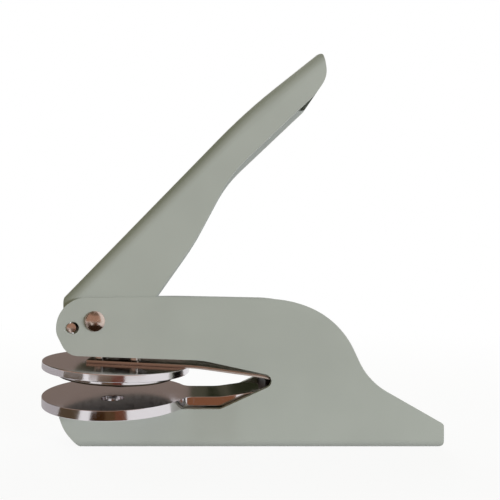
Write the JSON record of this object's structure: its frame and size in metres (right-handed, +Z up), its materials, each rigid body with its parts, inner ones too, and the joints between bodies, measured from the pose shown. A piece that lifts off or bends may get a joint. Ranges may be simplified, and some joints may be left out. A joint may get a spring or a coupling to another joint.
{
  "type": "desk seal embosser",
  "caption": "Hand-lever desk embosser: folded sheet-steel frame, long pressed lever and a sprung pair of round plates in an open front mouth.",
  "frame": {"origin": "middle of the footprint box, on the face that the frame stands on", "axes": "+X from the paper mouth to the tail, +Y across the frame, +Z up"},
  "size_m": [0.1358, 0.0516, 0.1337],
  "materials": {
    "sage_paint": "satin powder paint",
    "polished_steel": "mirror polished",
    "spring_steel": "smooth rolled",
    "hardened_steel": "oil blackened",
    "zinc_steel": "zinc plated",
    "tape": "foam adhesive disc"
  },
  "bodies": {
    "frame": {"frame_channel": "sage_paint", "pivot_axle": "polished_steel", "stop_pin": "polished_steel", "axle_washers": "zinc_steel", "anvil_bridge": "zinc_steel", "anvil_rivets": "zinc_steel", "clip_backstop": "zinc_steel", "backstop_rivets": "zinc_steel", "lower_plate": "polished_steel", "clip_spacer": "polished_steel", "clip_rivets": "zinc_steel"},
    "jaw": {"upper_plate": "polished_steel", "leaf_spring": "spring_steel", "jaw_studs": "polished_steel", "die_tape": "tape", "die_plate": "polished_steel"},
    "lever": {"handle_lever": "sage_paint", "presser_cam": "hardened_steel", "cam_rivets": "zinc_steel", "spacer_bushes": "zinc_steel", "return_spring": "spring_steel"}
  },
  "joints": [
    {"name": "lever_pivot", "type": "hinge", "parent": "frame", "child": "lever", "pos_m": [-0.0479, 0, 0.04235], "axis": [0, 1, 0], "range_deg": [0, 40], "stiffness_Nm_per_rad": 0.15, "springref_deg": -34.38, "deforming": ["return_spring"]},
    {"name": "jaw_flex", "type": "hinge", "parent": "frame", "child": "jaw", "pos_m": [0.0715, 0, 0.02185], "axis": [0, -1, 0], "range_deg": [0, 2.9], "stiffness_Nm_per_rad": 30, "springref_deg": -0.57, "deforming": ["leaf_spring"]}
  ],
  "couplings": [
    {"joint": "jaw_flex", "follows": "lever_pivot", "ratio": 0.0725}
  ]
}
